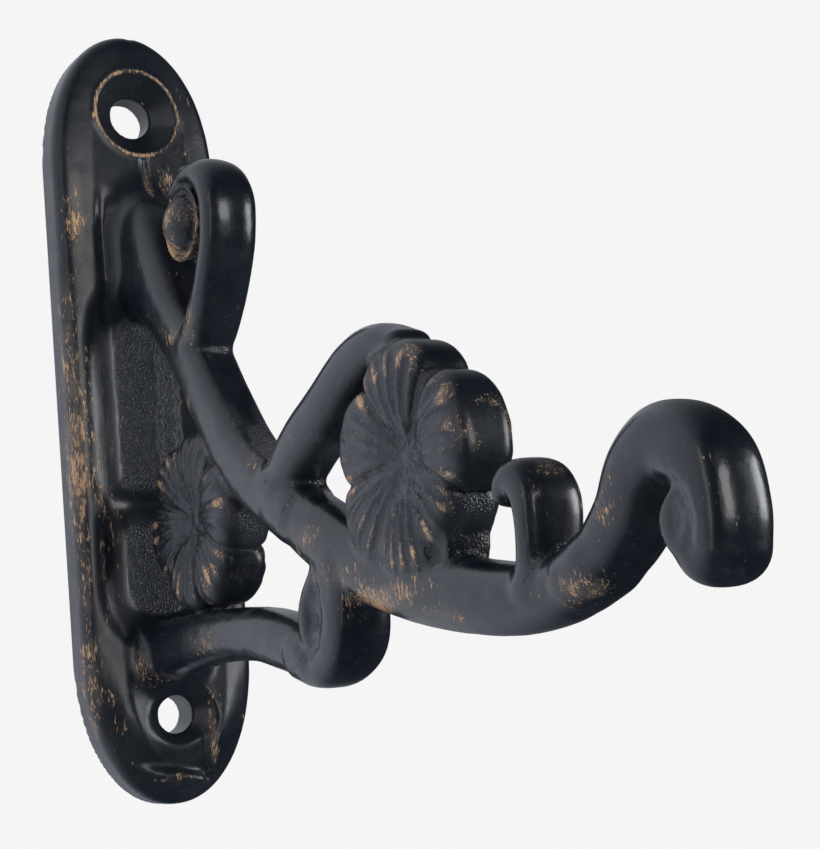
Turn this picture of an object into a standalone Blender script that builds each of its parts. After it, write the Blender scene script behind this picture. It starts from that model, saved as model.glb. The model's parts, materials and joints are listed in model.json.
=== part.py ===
"""Ornamental cast wall hook: a back plate with a scrolled, flowered arm.

Frame: origin at the centre of the plate's back face, +X to the right seen from the
room, +Y into the wall, +Z up. The arm reaches out along -Y and is symmetric in X.
Lengths below are in millimetres and are turned into metres when a mesh is made.
"""

import math

import bmesh
import bpy

MM = 0.001
GAP = 0.3

# Back plate
PLATE_HALF_W = 11.5
PLATE_HALF_H = 51.0
PLATE_STRAIGHT_Z = 32.0
PLATE_SIDE = 1.4
PLATE_THICK = 5.8
PLATE_ROUND = 5.0
RECESS_FLOOR = 2.8
RECESS_HALF_W = 4.9
RECESS_TOP = 13.5
RECESS_BOTTOM = -27.0
HOLE_Z = 39.7
HOLE_R = 2.8
SINK_R = 5.75
SINK_DEPTH = 2.5
LOW_SINK_R = 4.2
LOW_SINK_DEPTH = 1.0

# Members: half thickness across X, and how square their section is
MEMBER_HALF_X = 3.3
SECTION_POWER = 2.5
SECTION_SIDES = 20
CAP_RINGS = 4

# Each station is (y, z, half width in the plane, half thickness across X)
UPPER_BAR = [
    (-2.0, 23.5, 7.2, 4.8), (-6.0, 20.0, 6.3, 4.4), (-10.2, 15.8, 5.0, 3.9),
    (-15.0, 9.2, 3.8, 3.4), (-19.8, 3.3, 3.6, 3.3), (-24.2, -3.2, 3.6, 3.3),
    (-30.2, -10.6, 3.6, 3.3), (-36.4, -15.2, 3.7, 3.3), (-42.0, -18.3, 3.6, 3.3),
]
LOWER_ARM = [
    (-40.6, -17.8, 3.1, 3.1), (-46.7, -21.2, 3.8, 3.3), (-52.7, -24.3, 3.9, 3.3),
    (-60.0, -27.0, 3.9, 3.3), (-67.5, -29.1, 3.8, 3.3), (-75.0, -30.6, 3.6, 3.3),
    (-82.0, -31.4, 3.3, 3.2), (-88.5, -31.1, 3.0, 3.2), (-93.5, -29.6, 2.8, 3.2),
]
END_CURL = [
    (-91.5, -30.3, 2.4, 3.1), (-95.3, -28.6, 2.9, 3.3), (-98.7, -25.8, 3.2, 3.4),
    (-101.2, -22.4, 3.3, 3.6), (-104.7, -20.8, 3.4, 3.7), (-107.8, -22.8, 3.6, 3.8),
    (-108.6, -26.6, 3.7, 3.8), (-108.4, -29.6, 3.6, 3.7),
]
UPPER_CURL = [
    (-20.6, 4.4, 2.2, 3.0), (-23.0, 6.6, 2.8, 3.3), (-26.8, 11.2, 2.3, 3.4),
    (-29.5, 16.6, 2.0, 3.5), (-29.8, 21.4, 2.0, 3.5), (-27.0, 24.8, 1.8, 3.5),
    (-22.8, 25.4, 1.4, 3.4), (-18.8, 23.4, 1.0, 3.2),
]
BRANCH = [
    (-39.0, -15.6, 3.0, 3.0), (-45.3, -11.4, 3.2, 3.2), (-51.3, -8.5, 3.2, 3.2),
    (-57.2, -5.3, 2.9, 3.1), (-62.2, -4.0, 2.3, 3.0), (-66.4, -4.7, 1.6, 2.7),
]
INNER_SCROLL = [
    (-85.8, -30.6, 1.7, 3.1), (-86.8, -26.5, 1.5, 3.4), (-86.9, -22.6, 1.6, 3.5),
    (-85.2, -20.3, 1.6, 3.5), (-83.1, -20.6, 1.3, 3.3), (-82.1, -22.3, 1.0, 3.1),
]
LOWER_STRUT = [
    (-2.0, -32.3, 4.6, 4.6), (-6.0, -31.8, 4.1, 4.2), (-12.0, -31.1, 3.5, 3.5),
    (-21.0, -30.8, 3.2, 3.3), (-30.5, -31.2, 3.1, 3.3), (-38.0, -32.6, 3.2, 3.3),
    (-44.5, -34.5, 3.0, 3.3),
]
STRUT_SCROLL = [
    (-42.6, -34.3, 2.7, 3.1), (-45.6, -34.6, 3.4, 3.4), (-48.8, -33.4, 4.3, 3.6),
    (-50.2, -30.4, 4.7, 3.6), (-50.3, -26.5, 4.0, 3.2),
]
STEPS_PER_SPAN = 4

# Flowers: centre (y, z), radius and the direction of each petal in degrees
FLOWER_HALF_X = 3.4
UPPER_FLOWER = (-67.2, -16.7, 12.2)
LOWER_FLOWER = (-18.6, -17.0, 11.3)
UPPER_PETALS = [176, 84, 22, -32, -88]
LOWER_PETALS = [170, 100, 30, -38, -108]
FLOWER_SIDES = 60
NOTCH = 0.15

# Round boss at the end of the upper curl: centre (y, z) and its turned profile (x, r)
BALL_CENTRE = (-22.0, 19.9)
BALL_PROFILE = [(3.9, 1.3), (3.5, 2.6), (2.7, 3.6), (1.4, 4.15), (0.0, 4.3)]
BALL_SIDES = 28


def clear_scene():
    for item in list(bpy.data.objects):
        bpy.data.objects.remove(item, do_unlink=True)
    bpy.context.scene.unit_settings.scale_length = 1.0


def paint(name, colour, metallic, roughness):
    material = bpy.data.materials.new(name)
    material.use_nodes = True
    shader = material.node_tree.nodes["Principled BSDF"]
    shader.inputs["Base Color"].default_value = (*colour, 1.0)
    shader.inputs["Metallic"].default_value = metallic
    shader.inputs["Roughness"].default_value = roughness
    return material


def make_object(name, points, faces, material=None):
    """A mesh from points in millimetres. Without a material it is a hidden cutter."""
    mesh = bpy.data.meshes.new(name)
    mesh.from_pydata([tuple(c * MM for c in p) for p in points], [], faces)
    work = bmesh.new()
    work.from_mesh(mesh)
    bmesh.ops.recalc_face_normals(work, faces=work.faces)
    work.to_mesh(mesh)
    work.free()
    mesh.shade_smooth()
    made = bpy.data.objects.new(name, mesh)
    bpy.context.scene.collection.objects.link(made)
    if material:
        mesh.materials.append(material)
    else:
        made.hide_render = True
        made.display_type = "WIRE"
    return made


def cut(body, *cutters):
    for cutter in cutters:
        step = body.modifiers.new("cut_" + cutter.name, "BOOLEAN")
        step.operation = "DIFFERENCE"
        step.solver = "EXACT"
        step.object = cutter


def rings_to_faces(rings, sides):
    """Quads between rings of points that are stored one after another, with end caps."""
    faces = [tuple(range(sides))[::-1]]
    for ring in range(rings - 1):
        for side in range(sides):
            after = (side + 1) % sides
            low, high = ring * sides, (ring + 1) * sides
            faces.append((low + side, low + after, high + after, high + side))
    faces.append(tuple(range((rings - 1) * sides, rings * sides)))
    return faces


def spline(stations):
    """Catmull-Rom curve through the stations."""
    ends = [[2 * a - b for a, b in zip(stations[0], stations[1])]]
    tail = [[2 * a - b for a, b in zip(stations[-1], stations[-2])]]
    known = ends + [list(s) for s in stations] + tail
    curve = []
    for i in range(1, len(known) - 2):
        before, start, end, after = known[i - 1:i + 3]
        for step in range(STEPS_PER_SPAN):
            t = step / STEPS_PER_SPAN
            curve.append([
                0.5 * (2 * b + (c - a) * t + (2 * a - 5 * b + 4 * c - d) * t * t
                       + (3 * b - a - 3 * c + d) * t ** 3)
                for a, b, c, d in zip(before, start, end, after)
            ])
    curve.append(list(stations[-1]))
    return curve


def section(y, z, tangent, half_w, half_x):
    """One superellipse ring across the member at (y, z)."""
    ring = []
    for side in range(SECTION_SIDES):
        angle = 2 * math.pi * side / SECTION_SIDES
        c, s = math.cos(angle), math.sin(angle)
        across = math.copysign(abs(c) ** (2 / SECTION_POWER), c) * half_x
        inside = math.copysign(abs(s) ** (2 / SECTION_POWER), s) * half_w
        ring.append((across, y - tangent[1] * inside, z + tangent[0] * inside))
    return ring


def member_points(stations, grow):
    """Rings along a member in the YZ plane, closed by a rounded cap at each end."""
    curve = spline(stations)
    points, count = [], 0
    last = len(curve) - 1
    for i, (y, z, half_w, half_x) in enumerate(curve):
        ahead, behind = curve[min(i + 1, last)], curve[max(i - 1, 0)]
        run = math.hypot(ahead[0] - behind[0], ahead[1] - behind[1])
        tangent = ((ahead[0] - behind[0]) / run, (ahead[1] - behind[1]) / run)
        half_w, half_x = half_w + grow, half_x + grow
        angles = [0.0]
        if i == 0:
            angles = [-math.pi / 2 * k / CAP_RINGS for k in range(CAP_RINGS - 1, -1, -1)]
        elif i == last:
            angles = [math.pi / 2 * k / CAP_RINGS for k in range(CAP_RINGS)]
        reach = min(half_w, half_x) * 0.9
        for angle in angles:
            along, shrink = math.sin(angle) * reach, math.cos(angle)
            points += section(y + tangent[0] * along, z + tangent[1] * along,
                              tangent, half_w * shrink, half_x * shrink)
            count += 1
    return points, count


def member(name, stations, material=None, grow=0.0):
    points, count = member_points(stations, grow)
    return make_object(name, points, rings_to_faces(count, SECTION_SIDES), material)


def petal_reach(angle, petals):
    """How far out the rim is in a direction: full at a petal, notched between two."""
    around = sorted(math.radians(p) % (2 * math.pi) for p in petals)
    angle %= 2 * math.pi
    high = next((k for k, a in enumerate(around) if a > angle), 0)
    start, end = around[high - 1], around[high]
    span = (end - start) % (2 * math.pi)
    middle = ((angle - start) % (2 * math.pi)) / span
    return 1.0 - NOTCH * math.sin(math.pi * middle) ** 3


def flower(name, place, petals, material=None, grow=0.0):
    """A thick double-faced flower, dished at its centre and rounded at its rim."""
    y0, z0, radius = place
    profile = [(0.12, 0.62), (0.34, 0.8), (0.62, 1.0), (0.84, 0.97), (0.95, 0.74), (1.0, 0.34)]
    rings = [(r, -x) for r, x in profile] + [(r, x) for r, x in reversed(profile)]
    points = []
    for r, x in rings:
        for side in range(FLOWER_SIDES):
            angle = 2 * math.pi * side / FLOWER_SIDES
            reach = (radius + grow) * r * (1 + (petal_reach(angle, petals) - 1) * r)
            points.append((x * (FLOWER_HALF_X + grow), y0 + reach * math.cos(angle),
                           z0 + reach * math.sin(angle)))
    return make_object(name, points, rings_to_faces(len(rings), FLOWER_SIDES), material)


def ball(name, material):
    profile = [(-x, r) for x, r in BALL_PROFILE] + [(x, r) for x, r in BALL_PROFILE[-2::-1]]
    points = []
    for x, r in profile:
        for side in range(BALL_SIDES):
            angle = 2 * math.pi * side / BALL_SIDES
            points.append((x, BALL_CENTRE[0] + r * math.cos(angle),
                           BALL_CENTRE[1] + r * math.sin(angle)))
    return make_object(name, points, rings_to_faces(len(profile), BALL_SIDES), material)


def plate_outline(inset, depth, quarter=14):
    """The long plate outline, straight at its sides and elliptical at its ends."""
    half_w, rise = PLATE_HALF_W - inset, PLATE_HALF_H - PLATE_STRAIGHT_Z - inset
    ring = []
    for end in (1, -1):
        for k in range(2 * quarter + 1):
            angle = math.pi * k / (2 * quarter)
            ring.append((end * half_w * math.cos(angle), -depth,
                         end * (PLATE_STRAIGHT_Z + rise * math.sin(angle))))
    return ring


def plate_body(name, material=None, grow=0.0, back=0.0):
    points, count = [], 2
    points += plate_outline(0.0, back)
    points += plate_outline(0.0, PLATE_SIDE)
    steps = 5
    for k in range(1, steps + 1):
        angle = math.pi / 2 * k / steps
        points += plate_outline(PLATE_ROUND * (1 - math.cos(angle)),
                                PLATE_SIDE + (PLATE_THICK + grow - PLATE_SIDE) * math.sin(angle))
        count += 1
    return make_object(name, points, rings_to_faces(count, len(points) // count), material)


def recess_cutter(name, grow):
    """A tapered pocket with round ends, from its floor out past the plate's face."""
    floor, front = RECESS_FLOOR + grow, PLATE_THICK + 1.0
    middle = (RECESS_TOP + RECESS_BOTTOM) / 2
    half_h = (RECESS_TOP - RECESS_BOTTOM) / 2
    points = []
    for depth, widen in ((floor, 0.0), (front, 2.6)):
        for end in (1, -1):
            for k in range(17):
                angle = math.pi * k / 16
                half_w = RECESS_HALF_W - grow + widen
                points.append((end * half_w * math.cos(angle), -depth,
                               middle + end * (half_h - RECESS_HALF_W + half_w * math.sin(angle))))
    return make_object(name, points, rings_to_faces(2, 34))


def round_cutter(name, z, stages):
    """A turned cutter along Y from (depth, radius) stages."""
    points = []
    for depth, radius in stages:
        for side in range(32):
            angle = 2 * math.pi * side / 32
            points.append((radius * math.cos(angle), -depth, z + radius * math.sin(angle)))
    return make_object(name, points, rings_to_faces(len(stages), 32))


def screw_hole(name, z, sink_r, sink_depth):
    flare = (sink_r - HOLE_R) / sink_depth
    return round_cutter(name, z, [
        (-1.0, HOLE_R), (PLATE_THICK - sink_depth, HOLE_R), (PLATE_THICK, sink_r),
        (PLATE_THICK + 0.6, sink_r + 0.6 * flare),
    ])


def build_plate(material):
    plate = plate_body("back_plate", material)
    cut(plate, recess_cutter("recess_cut", 0.0),
        screw_hole("top_hole_cut", HOLE_Z, SINK_R, SINK_DEPTH),
        screw_hole("bottom_hole_cut", -HOLE_Z, LOW_SINK_R, LOW_SINK_DEPTH))
    face = plate_body("plate_clear", None, GAP, -8.0)
    cut(face, recess_cutter("recess_clear", GAP))
    return face


def main():
    clear_scene()
    iron = paint("antique_black_iron", (0.022, 0.026, 0.033), 0.6, 0.38)
    face = build_plate(paint("plate_iron", (0.020, 0.024, 0.031), 0.6, 0.42))

    bar = member("upper_bar", UPPER_BAR, iron)
    cut(bar, face)
    bar_clear = member("bar_clear", UPPER_BAR, None, GAP)

    arm = member("lower_arm", LOWER_ARM, iron)
    cut(arm, bar_clear)
    arm_clear = member("arm_clear", LOWER_ARM, None, GAP)

    end = member("end_curl", END_CURL, iron)
    cut(end, arm_clear)

    curl = member("upper_curl", UPPER_CURL, iron)
    cut(curl, bar_clear)
    boss = ball("curl_ball", paint("rubbed_bronze", (0.30, 0.19, 0.10), 0.8, 0.4))
    cut(boss, member("curl_clear", UPPER_CURL, None, GAP))

    branch = member("branch_scroll", BRANCH, iron)
    cut(branch, bar_clear, arm_clear)

    scroll = member("inner_scroll", INNER_SCROLL, iron)
    cut(scroll, arm_clear)

    strut = member("lower_strut", LOWER_STRUT, iron)
    cut(strut, face)
    strut_clear = member("strut_clear", LOWER_STRUT, None, GAP)
    strut_scroll = member("strut_scroll", STRUT_SCROLL, iron)
    cut(strut_scroll, strut_clear, arm_clear)

    petals = paint("petal_iron", (0.030, 0.030, 0.034), 0.6, 0.45)
    upper = flower("upper_flower", UPPER_FLOWER, UPPER_PETALS, petals)
    cut(upper, arm_clear, member("branch_clear", BRANCH, None, GAP))
    lower = flower("lower_flower", LOWER_FLOWER, LOWER_PETALS, petals)
    cut(lower, face, bar_clear, strut_clear)


main()
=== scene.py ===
import bpy, bmesh, json, math
import numpy as np
from mathutils import Matrix, Vector


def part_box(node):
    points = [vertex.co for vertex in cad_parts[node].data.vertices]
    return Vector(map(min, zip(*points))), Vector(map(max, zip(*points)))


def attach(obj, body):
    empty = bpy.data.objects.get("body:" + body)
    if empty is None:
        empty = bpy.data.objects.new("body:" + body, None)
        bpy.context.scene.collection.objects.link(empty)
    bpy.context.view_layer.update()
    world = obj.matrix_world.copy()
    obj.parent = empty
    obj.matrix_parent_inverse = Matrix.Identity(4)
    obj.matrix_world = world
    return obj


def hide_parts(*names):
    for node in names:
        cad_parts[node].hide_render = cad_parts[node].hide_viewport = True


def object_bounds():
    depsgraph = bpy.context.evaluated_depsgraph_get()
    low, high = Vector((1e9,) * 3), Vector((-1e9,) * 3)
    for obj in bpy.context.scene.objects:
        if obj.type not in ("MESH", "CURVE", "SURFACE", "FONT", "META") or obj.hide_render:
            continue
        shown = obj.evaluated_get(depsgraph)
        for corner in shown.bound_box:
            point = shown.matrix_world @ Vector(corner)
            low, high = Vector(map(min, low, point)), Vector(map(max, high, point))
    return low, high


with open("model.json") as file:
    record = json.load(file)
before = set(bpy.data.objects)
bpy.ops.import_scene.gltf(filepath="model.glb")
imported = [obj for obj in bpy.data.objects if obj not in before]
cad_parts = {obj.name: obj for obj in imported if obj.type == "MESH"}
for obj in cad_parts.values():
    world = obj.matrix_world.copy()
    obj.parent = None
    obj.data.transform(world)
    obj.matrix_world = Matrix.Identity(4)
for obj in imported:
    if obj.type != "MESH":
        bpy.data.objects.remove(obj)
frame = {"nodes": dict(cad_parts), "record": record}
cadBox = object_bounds()
print("frame loaded:", len(frame["nodes"]), "nodes")

mm = 0.001
cell = 0.32  # spacing of the sculpting grid, in millimetres
bpy.context.scene.view_settings.view_transform = "Standard"


cameraLook = {"place": (-90.82, -206.61, -36.90), "yaw": 0.5726, "pitch": 0.1431, "roll": -0.0918,
              "lens": 72.08, "film": 36, "near": 0.01, "far": 20}


def makeCamera(look):
    yaw, pitch, roll = look["yaw"], look["pitch"], look["roll"]
    ahead = Vector((math.sin(yaw) * math.cos(pitch), math.cos(yaw) * math.cos(pitch), math.sin(pitch)))
    right = Vector((math.cos(yaw), -math.sin(yaw), 0))
    up = right.cross(ahead)
    side = right * math.cos(roll) + up * math.sin(roll)
    top = up * math.cos(roll) - right * math.sin(roll)
    data = bpy.data.cameras.new("camera")
    data.lens, data.sensor_width, data.sensor_fit = look["lens"], look["film"], "AUTO"
    data.clip_start, data.clip_end = look["near"], look["far"]
    camera = bpy.data.objects.new("camera", data)
    turn = Matrix((side, top, -ahead)).transposed().to_4x4()
    camera.matrix_world = Matrix.Translation(Vector(look["place"]) * mm) @ turn
    bpy.context.scene.collection.objects.link(camera)
    bpy.context.scene.camera = camera


makeCamera(cameraLook)


# every part is a distance field in millimetres, and the fields melt together as a casting does

def smoothStep(low, high, value):
    t = np.clip((value - low) / (high - low), 0, 1)
    return t * t * (3 - 2 * t)


def melt(a, b, soft):  # union with a fillet
    h = np.clip(0.5 + 0.5 * (b - a) / soft, 0, 1)
    return b + (a - b) * h - soft * h * (1 - h)


def carve(a, b, soft):  # a with b taken out, and a softened edge
    return -melt(-a, b, soft)


def bump(value, centre, width):
    return np.exp(-((value - centre) / width) ** 2)


latticeSize = 32
latticeNoise = np.random.RandomState(7).rand(*[latticeSize] * 3).astype(np.float32) * 2 - 1


def grain(points, size):  # smooth noise from -1 to 1 with features of about this size in mm
    p = points / size
    base = np.floor(p).astype(np.int64)
    f = p - base
    f = f * f * (3 - 2 * f)
    total = 0
    for dx in (0, 1):
        for dy in (0, 1):
            for dz in (0, 1):
                corner = latticeNoise[tuple((base + (dx, dy, dz)).T % latticeSize)]
                weight = ((f[:, 0] if dx else 1 - f[:, 0]) * (f[:, 1] if dy else 1 - f[:, 1])
                          * (f[:, 2] if dz else 1 - f[:, 2]))
                total = total + corner * weight
    return total


def smoothCurve(stations, steps=9):
    s = np.array(stations, float)
    s = np.vstack([2 * s[0] - s[1], s, 2 * s[-1] - s[-2]])
    rows = []
    for i in range(1, len(s) - 2):
        a, b, c, d = s[i - 1:i + 3]
        for t in np.arange(steps) / steps:
            rows.append(0.5 * (2 * b + (c - a) * t + (2 * a - 5 * b + 4 * c - d) * t ** 2
                               + (3 * b - a - 3 * c + d) * t ** 3))
    rows.append(s[-2])
    return np.array(rows)


sweepLook = {"blend": 0.7, "leastRatio": 0.15, "leastSlope": 0.08}


def sweepField(points, curve, square):  # bar swept along a curve, with a rounded section
    y, z = points[:, 1], points[:, 2]
    gaps, widths, depths = [], [], []
    for a, b in zip(curve[:-1], curve[1:]):
        run = b[:2] - a[:2]
        t = np.clip(((y - a[0]) * run[0] + (z - a[1]) * run[1]) / max(run @ run, 1e-9), 0, 1)
        width = a[2] + t * (b[2] - a[2])
        gaps.append(np.hypot(y - a[0] - t * run[0], z - a[1] - t * run[1]) - width)
        widths.append(width)
        depths.append(a[3] + t * (b[3] - a[3]))
    gaps = np.array(gaps)
    best = gaps.min(0)
    weight = np.exp((best - gaps) / sweepLook["blend"])
    weight /= weight.sum(0)
    width = (weight * np.array(widths)).sum(0)
    depth = (weight * np.array(depths)).sum(0)
    across, away = np.abs(points[:, 0]) / depth, np.maximum(best + width, 0) / width
    k = np.maximum((across ** square + away ** square) ** (1 / square), sweepLook["leastRatio"])
    slope = np.hypot(across ** (square - 1) / depth, away ** (square - 1) / width) * k ** (1 - square)
    return (k - 1) / np.maximum(slope, sweepLook["leastSlope"])


# members of the arm: y, z, half width in the plane, half thickness across
members = {
    "upper_bar": {"soft": 2.8, "square": 3.0, "path": [
        (2.0, 25.2, 7.2, 4.3), (-2.4, 21.8, 7.7, 4.3), (-6.4, 18.6, 7.0, 4.2), (-10.2, 15.2, 5.5, 3.9),
        (-15.0, 9.2, 3.9, 3.4), (-19.8, 3.3, 3.7, 3.3), (-24.2, -3.2, 3.7, 3.3), (-30.2, -10.6, 3.7, 3.3),
        (-36.4, -15.2, 3.7, 3.3), (-42.0, -18.3, 3.6, 3.3)]},
    "lower_strut": {"soft": 2.4, "square": 2.5, "path": [
        (1.0, -32.8, 5.0, 5.2), (-3.0, -32.2, 4.6, 4.8), (-7.0, -31.6, 4.0, 4.1),
        (-12.0, -31.1, 3.5, 3.5), (-21.0, -30.8, 3.2, 3.3), (-30.5, -31.2, 3.1, 3.3),
        (-38.0, -32.6, 3.2, 3.3), (-44.5, -34.5, 3.0, 3.3)]},
    "lower_arm": {"soft": 1.0, "square": 2.35, "path": [
        (-40.6, -17.8, 3.2, 3.1), (-46.7, -21.2, 3.8, 3.3), (-52.7, -24.3, 3.9, 3.3),
        (-60.0, -27.0, 3.9, 3.3), (-67.5, -29.1, 3.8, 3.3), (-75.0, -30.6, 3.6, 3.3),
        (-82.0, -31.4, 3.3, 3.2), (-88.5, -31.1, 3.0, 3.2), (-93.5, -29.6, 2.8, 3.2)]},
    "end_curl": {"soft": 1.2, "square": 2.5, "path": [
        (-91.5, -30.3, 2.4, 3.1), (-95.3, -28.6, 2.9, 3.3), (-98.7, -25.8, 3.2, 3.4),
        (-101.2, -22.4, 3.3, 3.6), (-104.7, -20.8, 3.4, 3.7), (-108.0, -22.8, 3.4, 3.8),
        (-109.1, -26.6, 3.1, 3.8), (-108.7, -29.7, 3.1, 3.7)]},
    "upper_curl": {"soft": 0.8, "square": 2.3, "path": [
        (-20.6, 4.4, 2.2, 3.0), (-23.0, 6.6, 2.9, 3.3), (-26.8, 11.2, 2.3, 3.45), (-29.4, 16.6, 2.1, 3.5),
        (-29.7, 21.2, 2.1, 3.55), (-27.2, 24.5, 2.0, 3.5), (-23.4, 25.3, 1.5, 3.4),
        (-20.2, 24.1, 0.9, 3.1)]},
    "branch_scroll": {"soft": 0.9, "square": 2.6, "path": [
        (-39.0, -15.6, 3.0, 3.0), (-45.3, -11.4, 3.2, 3.2), (-51.3, -8.5, 3.2, 3.2),
        (-57.2, -5.3, 2.9, 3.1), (-62.2, -4.0, 2.3, 3.0), (-66.4, -4.7, 1.6, 2.7)]},
    "inner_scroll": {"soft": 0.9, "square": 2.7, "path": [
        (-85.8, -30.6, 2.0, 3.1), (-86.7, -26.5, 1.6, 3.4), (-86.7, -22.9, 1.8, 3.5),
        (-85.3, -21.0, 1.9, 3.5), (-83.9, -21.4, 1.6, 3.4), (-83.4, -22.4, 1.0, 3.1)]},
    "strut_scroll": {"soft": 0.9, "square": 3.0, "path": [
        (-42.6, -34.3, 2.7, 3.1), (-46.8, -34.9, 3.1, 3.4), (-50.6, -33.2, 3.2, 3.6),
        (-51.8, -30.0, 3.0, 3.6), (-51.4, -26.5, 3.4, 3.2)]},
}
# rolled ends of the two lower scrolls: a thin leaf, the crease outside it, a sunk eye and a solid core
rollLook = {"square": 2.6, "leafSoft": 0.5, "coreSoft": 0.9, "sides": (1.0, 2.6),
            "eyeDeep": 0.42, "creaseDeep": 0.36, "creaseWide": 0.7}
rolls = {
    "end_curl": {
        "leaf": [(-108.0, -30.4, 1.6, 3.3), (-106.7, -29.0, 1.5, 3.5), (-106.3, -27.2, 1.4, 3.5),
                 (-106.7, -25.8, 1.0, 3.2)],
        "crease": [(-103.9, -25.2), (-105.4, -24.3), (-107.3, -24.2), (-108.7, -25.5), (-109.2, -27.6),
                   (-108.8, -29.4)],
        "eye": (-107.7, -27.2, 0.85, 1.5), "core": (-107.7, -27.4, 2.2, 3.15)},
    "strut_scroll": {
        "leaf": [(-46.8, -33.9, 1.6, 3.1), (-46.2, -31.6, 1.6, 3.4), (-46.5, -28.6, 1.6, 3.4),
                 (-48.4, -26.3, 1.7, 3.1)],
        "crease": [(-45.2, -33.6), (-47.0, -34.3), (-49.0, -33.2), (-49.9, -30.8), (-49.6, -28.2)],
        "eye": (-48.1, -31.0, 0.9, 1.6), "core": (-48.7, -30.9, 3.0, 3.05)},
}


def creaseDepth(points, path, width):
    reach = np.full(len(points), 1e3)
    for (y0, z0), (y1, z1) in zip(path[:-1], path[1:]):
        run = np.array((y1 - y0, z1 - z0))
        t = np.clip(((points[:, 1] - y0) * run[0] + (points[:, 2] - z0) * run[1]) / (run @ run), 0, 1)
        reach = np.minimum(reach, np.hypot(points[:, 1] - y0 - t * run[0], points[:, 2] - z0 - t * run[1]))
    return bump(reach, 0, width)


def memberField(name, points):
    made = members[name]
    field = sweepField(points, made["curve"], made["square"])
    if name in rolls:
        roll, look = rolls[name], rollLook
        field = melt(field, sweepField(points, roll["curve"], look["square"]), look["leafSoft"])
        y, z, wide, tall = roll["eye"]
        eye = np.exp(-((points[:, 1] - y) / wide) ** 2 - ((points[:, 2] - z) / tall) ** 2)
        y, z, wide, thick = roll["core"]
        core = np.maximum(np.hypot(points[:, 1] - y, points[:, 2] - z) - wide, np.abs(points[:, 0]) - thick)
        field = melt(field, core, look["coreSoft"])
        side = smoothStep(*look["sides"], np.abs(points[:, 0]))
        crease = creaseDepth(points, roll["crease"], look["creaseWide"])
        field = field + side * (look["eyeDeep"] * eye + look["creaseDeep"] * crease)
    return field


for made in members.values():
    made["curve"] = smoothCurve(made["path"])
for roll in rolls.values():
    roll["curve"] = smoothCurve(roll["leaf"])


plateLook = {
    "halfWidth": 11.5, "straight": 32.0, "halfHeight": 50.9, "point": 2.08,
    "side": 4.75, "thick": 5.9, "round": 4.6, "edgeSoft": 1.7, "crown": (0.12, 0.3),
    "floor": 2.8, "floorHalf": 3.4, "slope": 6.8, "recessTop": 12.5, "recessBottom": -26.5,
    "saddle": (-12.8, 2.2, 1.3),  # z, length and height
    "valley": (5.7, 0.9, 0.8), "valleyEnds": ((30, 22), (9, 14)),  # x, width and depth, beside the arm's root
    "holeZ": 39.7, "holeR": 2.75, "ringR": 5.75, "ringDepth": 2.5, "seatSoft": 0.3,
    "seatLip": (0.05, 0.34, 0.26),  # how far outside the ring, width and height
    "tunnelDepth": 9.0, "lowHoleR": 2.4, "lowSeatTop": 5.0, "lowSeatDepth": 0.3,
    "lowSwell": (-41.5, 6.5, 1.2),  # z, length and height
    "hollow": 0.9, "hollowTilt": 0.2,
    "hollowEnds": ((-8, -2), (3.9, 2.6), (-47.4, -46.0), (-33, -38)),  # left, right, bottom and top
    "rightLip": (4.2, 0.55, 0.42), "rightLipEnds": ((-48, -46), (-36, -39)),
    "bottomLip": (-47.8, 0.6, 0.42), "bottomLipEnds": ((4.2, 3.0), (-6.0, -3.5)),
    "notchX": (3.5, 0.55), "notchZ": (-47.9, 0.7), "notchDeep": 0.5,  # where the two lips meet
}


def outlineGap(x, z):
    look = plateLook
    p = look["point"]
    over = np.maximum(np.abs(z) - look["straight"], 0) / (look["halfHeight"] - look["straight"])
    away = np.abs(x) / look["halfWidth"]
    p = 2 + (p - 2) * smoothStep(0, 0.5, over)
    k = np.maximum((away ** p + over ** p) ** (1 / p), 0.05)
    rise = look["halfHeight"] - look["straight"]
    slope = np.hypot(away ** (p - 1) / look["halfWidth"], over ** (p - 1) / rise) * k ** (1 - p)
    return (k - 1) / np.maximum(slope, 0.03)


def recessGap(x, z):
    look = plateLook
    middle = (look["recessTop"] + look["recessBottom"]) / 2
    length = (look["recessTop"] - look["recessBottom"]) / 2
    along = np.maximum(np.abs(z - middle) - length + look["floorHalf"], 0)
    return np.hypot(x, along) - look["floorHalf"]


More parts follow.
